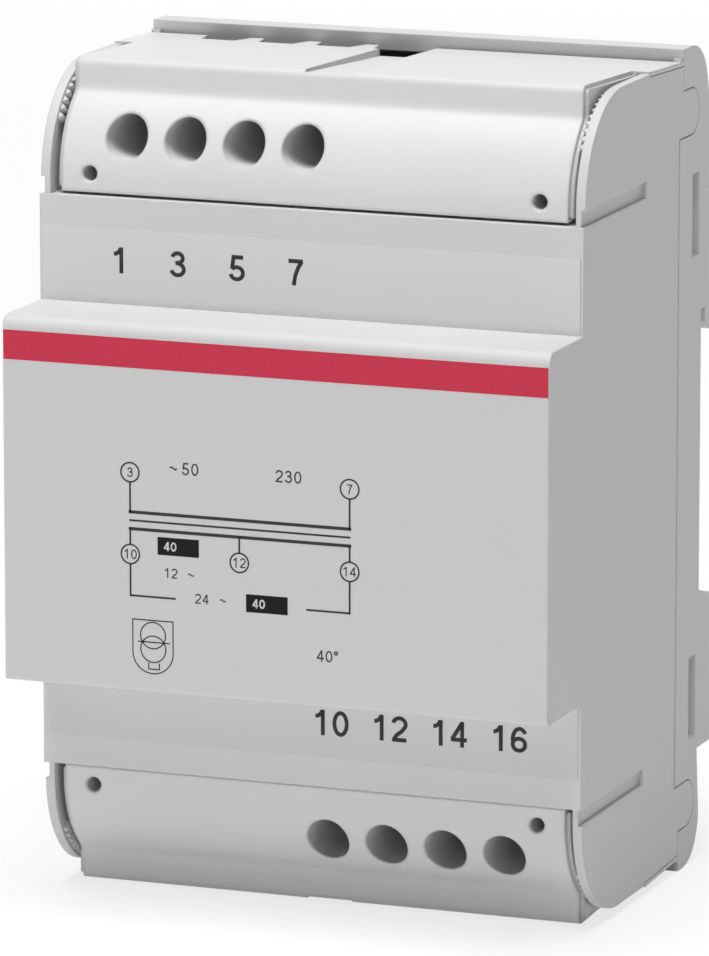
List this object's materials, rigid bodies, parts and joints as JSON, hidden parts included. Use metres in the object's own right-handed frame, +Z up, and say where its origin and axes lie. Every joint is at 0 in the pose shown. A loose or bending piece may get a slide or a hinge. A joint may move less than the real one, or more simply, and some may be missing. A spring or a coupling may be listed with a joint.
{
  "type": "safety transformer",
  "caption": "Rail-mounted safety transformer in a stepped grey plastic housing, with curved covers over its screw terminals, a printed front and sprung rail clips.",
  "frame": {"origin": "middle of the rail seat, on the plane of the mounting rail's front face", "axes": "+X along the rail to the viewer's right, +Y to the rear so the front faces -Y, +Z up"},
  "size_m": [0.07, 0.0624, 0.1034],
  "materials": {
    "housing_plastic": "light grey moulded plastic with a fine spark texture",
    "cover_plastic": "pale grey moulded plastic, smoother than the housing",
    "clip_plastic": "grey moulded plastic",
    "label_film": "printed matte film with a red band",
    "number_film": "printed matte film",
    "block_plastic": "dark moulded plastic",
    "plated_steel": "bright zinc plate",
    "tab_brass": "tinned brass strip",
    "core_steel": "stacked laminations under thin varnish",
    "bobbin_plastic": "black glass-filled plastic",
    "copper_wire": "enamelled copper wire",
    "insulation_paper": "wound insulating tape",
    "lead_insulation": "soft insulated lead",
    "cutout_case": "dipped resin"
  },
  "bodies": {
    "housing": {"front_hood": "housing_plastic", "rear_base": "housing_plastic", "upper_terminal_cover": "cover_plastic", "lower_terminal_cover": "cover_plastic", "front_label": "label_film", "upper_number_label": "number_film", "lower_number_label": "number_film", "upper_terminal_block": "block_plastic", "lower_terminal_block": "block_plastic", "upper_clamp_cages": "plated_steel", "lower_clamp_cages": "plated_steel", "upper_clamp_screws": "plated_steel", "lower_clamp_screws": "plated_steel", "upper_terminal_tabs": "tab_brass", "lower_terminal_tabs": "tab_brass", "core_e_stack": "core_steel", "core_i_stack": "core_steel", "bobbin": "bobbin_plastic", "primary_winding": "copper_wire", "inner_secondary_winding": "copper_wire", "outer_secondary_winding": "copper_wire", "interlayer_insulation": "insulation_paper", "winding_wrap": "insulation_paper", "primary_leads": "lead_insulation", "secondary_leads": "lead_insulation", "thermal_cutout": "cutout_case"},
    "clip_left": {"rail_clip_left": "clip_plastic"},
    "clip_right": {"rail_clip_right": "clip_plastic"}
  },
  "joints": [
    {"name": "clip_left_slide", "type": "slide", "parent": "housing", "child": "clip_left", "axis": [0, 0, -1], "range_m": [0, 0.004], "stiffness_N_per_m": 1500, "springref_m": -0.001},
    {"name": "clip_right_slide", "type": "slide", "parent": "housing", "child": "clip_right", "axis": [0, 0, -1], "range_m": [0, 0.004], "stiffness_N_per_m": 1500, "springref_m": -0.001}
  ]
}
